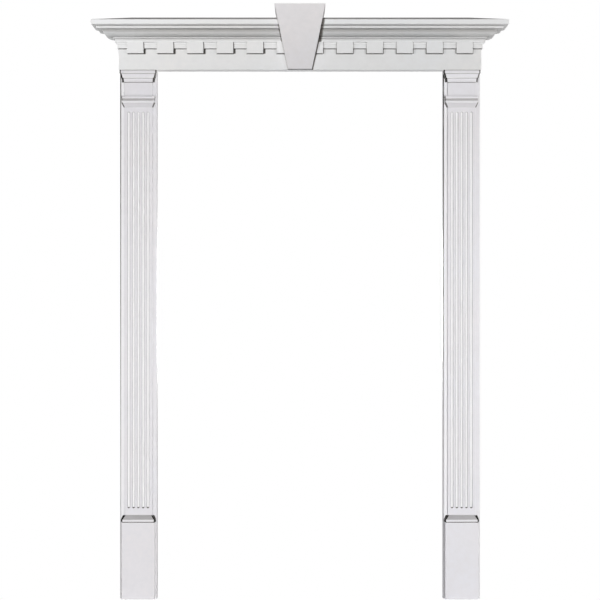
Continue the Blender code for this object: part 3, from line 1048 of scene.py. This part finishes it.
def primer(name, colour, offset, shade_strength):
    """Sprayed matte primer: uneven tint, dust and painted shade in the creases, painted shadows,
    rubbed arrises with painted highlights, painted shade on up-facing surfaces, fine orange peel.
    """
    nodes = Nodes(name)
    patches = nodes.spread(nodes.noise(PATCH_NOISE, offset), PATCH_RANGE)
    paint = nodes.mix(patches, tinted(colour, WARM_TINT), tinted(colour, COOL_TINT))
    mottle = nodes.spread(nodes.noise(MOTTLE_NOISE, offset), MOTTLE_RANGE)
    paint = nodes.mix(mottle, paint, tinted(colour, MOTTLE_TINT))
    streaks = nodes.noise(STREAK_NOISE, offset)
    # Dust and painted shade in the creases
    crease = nodes.attribute("crease")
    dust_and_shade_mask = nodes.spread(streaks, DUST_AND_SHADE_RANGE, (DUST_AND_SHADE_LEAST * shade_strength, shade_strength))
    paint = nodes.mix(nodes.times(crease, dust_and_shade_mask), paint, DUST_AND_SHADE)
    # Rubbed paint and painted highlight
    rub_and_light_mask = nodes.spread(streaks, RUB_AND_LIGHT_RANGE, RUB_AND_LIGHT_STRENGTH)
    paint = nodes.mix(nodes.times(nodes.attribute("arris"), rub_and_light_mask), paint, RUBBED_AND_LIT)
    # Painted shade on up-facing surfaces
    upward_shade_mask = nodes.spread(nodes.upward(), UPWARD_SHADE_SLOPE, (0.0, UPWARD_SHADE))
    upward_patches = nodes.spread(nodes.noise(UPWARD_SHADE_NOISE, offset), UPWARD_SHADE_RANGE, UPWARD_SHADE_STRENGTH)
    paint = nodes.mix(nodes.times(upward_shade_mask, upward_patches), paint, DUST_AND_SHADE)
    # Near-black painted shadow
    shadow_mask = nodes.spread(crease, SHADOW_RANGE)
    paint = nodes.mix(shadow_mask, paint, PAINTED_SHADOW)
    waves = nodes.bump(nodes.noise(WAVE_NOISE, offset), WAVE_STRENGTH, WAVE_DEPTH)
    peel = nodes.bump(nodes.noise(PEEL_NOISE, offset), PEEL_STRENGTH, PEEL_DEPTH, waves)
    shader = nodes.shader.inputs
    nodes.link(paint, shader["Base Color"])
    nodes.link(nodes.spread(streaks, ROUGHNESS_RANGE, ROUGHNESS), shader["Roughness"])
    nodes.link(nodes.spread(shadow_mask, (0.0, 1.0), SPECULAR), shader["Specular IOR Level"])
    nodes.link(peel, shader["Normal"])
    shader["Metallic"].default_value = 0.0
    shader["IOR"].default_value = PAINT_IOR
    return nodes.material


def seen_and_lit(tree, seen, lit, output):
    """Joins what the camera sees and what lights the object."""
    path = tree.nodes.new("ShaderNodeLightPath")
    mixed = tree.nodes.new("ShaderNodeMixShader")
    tree.links.new(path.outputs["Is Camera Ray"], mixed.inputs["Fac"])
    tree.links.new(lit, mixed.inputs[1])
    tree.links.new(seen, mixed.inputs[2])
    tree.links.new(mixed.outputs["Shader"], output)


def make_floor():
    """The camera sees it white; the object is lit by it as by a pale grey floor."""
    bm = bmesh.new()
    bmesh.ops.create_grid(bm, x_segments=1, y_segments=1, size=FLOOR_SIZE / 2)
    mesh = bpy.data.meshes.new("floor")
    bm.to_mesh(mesh)
    bm.free()
    floor = bpy.data.objects.new("floor", mesh)
    floor.location = (0.0, 0.0, cad_low.z - FLOOR_DROP)
    bpy.context.scene.collection.objects.link(floor)
    material = bpy.data.materials.new("pale_floor")
    material.use_nodes = True
    tree = material.node_tree
    tree.nodes.clear()
    matte = tree.nodes.new("ShaderNodeBsdfDiffuse")
    matte.inputs["Color"].default_value = (FLOOR_GREY, FLOOR_GREY, FLOOR_GREY, 1.0)
    glow = tree.nodes.new("ShaderNodeEmission")
    glow.inputs["Strength"].default_value = FLOOR_SEEN
    surface = tree.nodes.new("ShaderNodeOutputMaterial").inputs["Surface"]
    seen_and_lit(tree, glow.outputs["Emission"], matte.outputs["BSDF"], surface)
    mesh.materials.append(material)


def make_sky():
    """The camera sees it white; the object is lit by it mostly from level with the ground."""
    world = bpy.data.worlds.new("studio")
    bpy.context.scene.world = world
    world.use_nodes = True
    tree = world.node_tree
    tree.nodes.clear()
    seen = tree.nodes.new("ShaderNodeBackground")
    seen.inputs["Strength"].default_value = SKY_SEEN
    lit = tree.nodes.new("ShaderNodeBackground")
    for background in (seen, lit):
        background.inputs["Color"].default_value = (1.0, 1.0, 1.0, 1.0)
    towards = tree.nodes.new("ShaderNodeTexCoord")
    upward = tree.nodes.new("ShaderNodeSeparateXYZ")
    fading = tree.nodes.new("ShaderNodeMapRange")
    fading.inputs["From Max"].default_value = SKY_OVERHEAD_FROM
    fading.inputs["To Min"].default_value = SKY_LIGHT_LEVEL
    fading.inputs["To Max"].default_value = SKY_LIGHT_OVERHEAD
    tree.links.new(towards.outputs["Generated"], upward.inputs["Vector"])
    tree.links.new(upward.outputs["Z"], fading.inputs["Value"])
    tree.links.new(fading.outputs["Result"], lit.inputs["Strength"])
    surface = tree.nodes.new("ShaderNodeOutputWorld").inputs["Surface"]
    seen_and_lit(tree, seen.outputs["Background"], lit.outputs["Background"], surface)


def aimed(obj, target):
    obj.rotation_euler = (Vector(target) - obj.location).to_track_quat("-Z", "Y").to_euler()


def named_group(name, pieces):
    group = bpy.data.collections.new(name)
    for piece in pieces:
        group.objects.link(piece)
    return group


def softbox(name, location, target, power, lit, shading=None, size=SOFTBOX_SIZE):
    """A square soft light for the lit pieces alone; only the shading pieces cast its shadows.

    With no shading pieces given, every piece casts them.
    """
    light = bpy.data.lights.new(name, "AREA")
    light.shape = "SQUARE"
    light.size = size
    light.energy = power
    obj = bpy.data.objects.new(name, light)
    obj.location = location
    aimed(obj, target)
    bpy.context.scene.collection.objects.link(obj)
    obj.light_linking.receiver_collection = named_group(f"{name}_lit", lit)
    if shading:
        obj.light_linking.blocker_collection = named_group(f"{name}_shading", shading)


def light_from_front(group, lights, target, distance, **settings):
    """Softboxes level with a target, each at its turn to the right of the front."""
    centre_x, _, height = target
    for name, (turn, power) in lights.items():
        across = centre_x + distance * math.sin(math.radians(turn))
        away = -distance * math.cos(math.radians(turn))
        softbox(f"{group}_{name}", (across, away, height), target, power, **settings)


def light_head(crosshead, keystone):
    """The crosshead and the keystone have lights of their own, apart from the pilasters'."""
    head = (crosshead, keystone)
    target = (0.0, 0.0, HEAD_LIGHT_HEIGHT)
    light_from_front("head", HEAD_FRONT, target, FRONT_DISTANCE, lit=head)
    sides = {"lit": head, "shading": (crosshead,), "size": SIDE_SIZE}
    light_from_front("head", HEAD_SIDES, target, SIDE_DISTANCE, **sides)
    under = (0.0, 0.0, -MOUNT_RISE)
    softbox("bounce", BOUNCE_PLACE, under, BOUNCE_POWER, (crosshead,), (crosshead,))
    softbox("above", TOP_PLACE, (0.0, -frieze_depth(), 0.0), TOP_POWER, head)


def light_head_end(name, side, crosshead):
    """A low light under one end of the crosshead."""
    place = (side * END_BOUNCE_PLACE[0], *END_BOUNCE_PLACE[1:])
    end = (side * frieze_half_length(), -frieze_depth(), 0.0)
    softbox(f"{name}_end_bounce", place, end, END_BOUNCE_POWER, (crosshead,), (crosshead,))


def light_pilaster(name, side, pilaster):
    """Each pilaster has the same lights, set round its own centre line."""
    target = (pilaster_centre(side), 0.0, PILASTER_LIGHT_HEIGHT)
    light_from_front(name, PILASTER_LIGHTS, target, FRONT_DISTANCE, lit=(pilaster,))


def make_camera():
    data = bpy.data.cameras.new("camera")
    data.sensor_width = SENSOR_WIDTH
    data.lens = CAMERA_LENS
    data.clip_end = CAMERA_CLIP_END
    camera = bpy.data.objects.new("camera", data)
    camera.location = (0.0, -CAMERA_DISTANCE, CAMERA_HEIGHT)
    camera.rotation_euler = (math.pi / 2, 0.0, 0.0)
    bpy.context.scene.collection.objects.link(camera)
    bpy.context.scene.camera = camera


crosshead_paint = primer("crosshead_paint", *CROSSHEAD_PAINT)
keystone_paint = primer("keystone_paint", *KEYSTONE_PAINT)
pilaster_paint = primer("pilaster_paint", *PILASTER_PAINT)
crosshead = make_crosshead(crosshead_paint)
keystone = make_keystone(keystone_paint)
make_floor()
make_sky()
light_head(crosshead, keystone)
pilasters = []
for name, side in (("left", -1), ("right", 1)):
    light_head_end(name, side, crosshead)
    pilaster = make_pilaster(f"pilaster_{name}", side, pilaster_paint)
    light_pilaster(f"pilaster_{name}", side, pilaster)
    pilasters.append(pilaster)
behind = (0.0, BACK_DISTANCE, BACK_HEIGHT)
softbox("behind", behind, (0.0, 0.0, BACK_HEIGHT), BACK_POWER, pilasters)
make_camera()
bpy.context.scene.view_settings.view_transform = "Standard"
